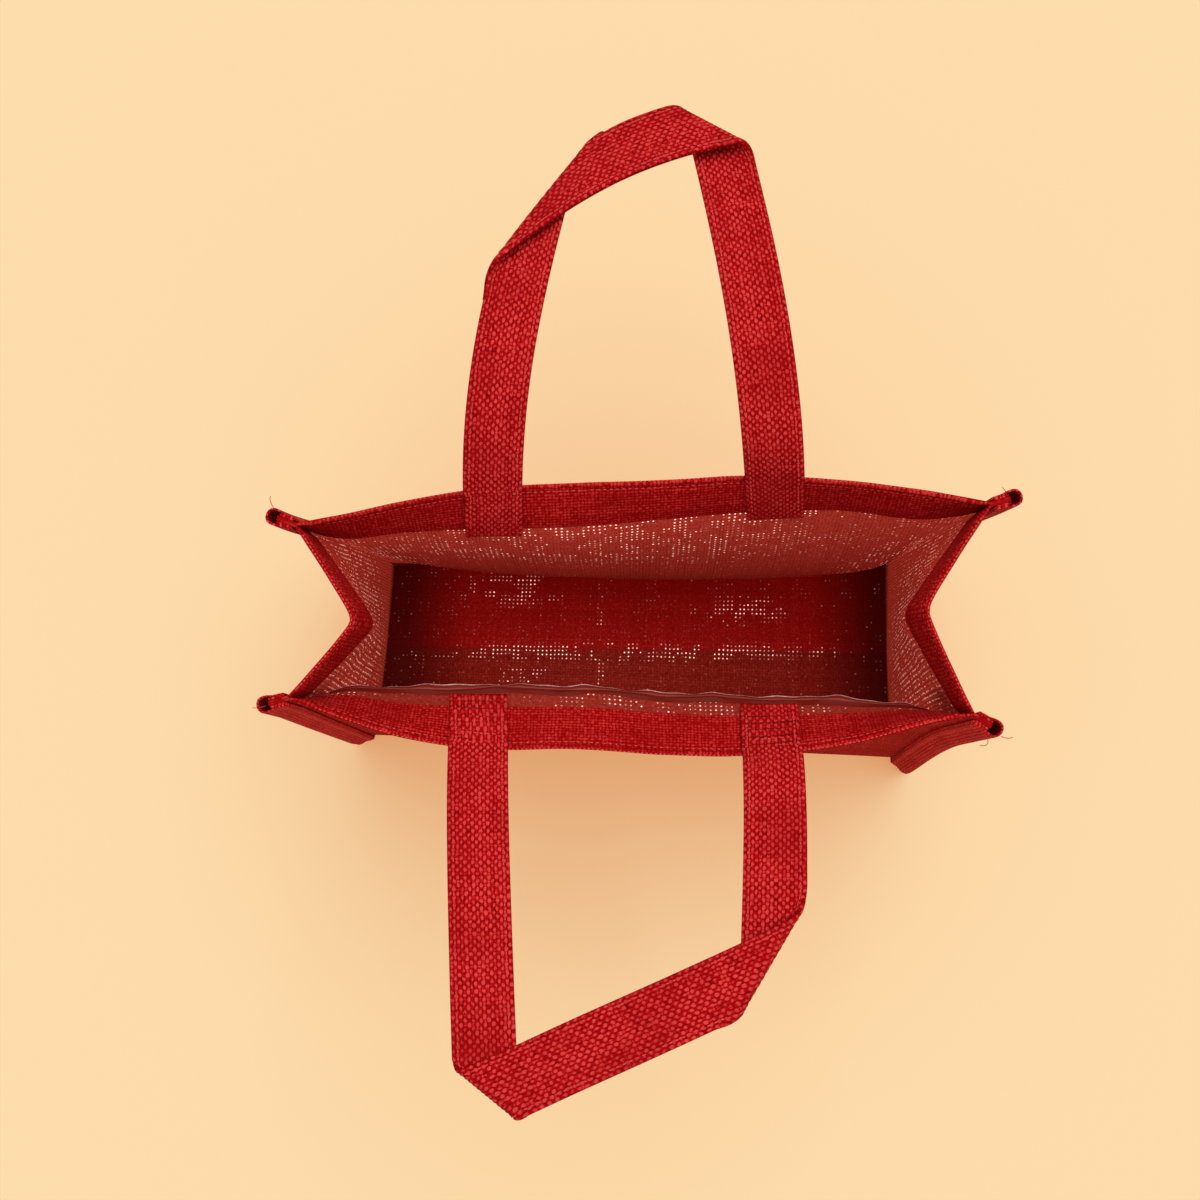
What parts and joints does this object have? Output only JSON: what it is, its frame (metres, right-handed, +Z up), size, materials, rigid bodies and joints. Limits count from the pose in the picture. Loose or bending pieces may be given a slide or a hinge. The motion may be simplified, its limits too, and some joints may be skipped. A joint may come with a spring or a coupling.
{
  "type": "jute shopping bag",
  "caption": "Open-topped jute shopping bag with a flat base, inward-folded side gussets, bound corner seams and flat handles thrown open in front and behind.",
  "frame": {"origin": "middle of the base, on its under face, where the bag stands", "axes": "+Z up, +X along the mouth, +Y from the front wall to the back wall"},
  "size_m": [0.3998, 0.4973, 0.3518],
  "materials": {
    "jute_body": "dyed plain-weave jute, matt, film-backed inside",
    "jute_trim": "dyed plain-weave jute, matt"
  },
  "bodies": {
    "root": {"body_panel": "jute_body", "gusset_left": "jute_body", "gusset_right": "jute_body", "binding_left": "jute_trim", "binding_right": "jute_trim", "handle_front": "jute_trim", "handle_back": "jute_trim"}
  },
  "joints": []
}
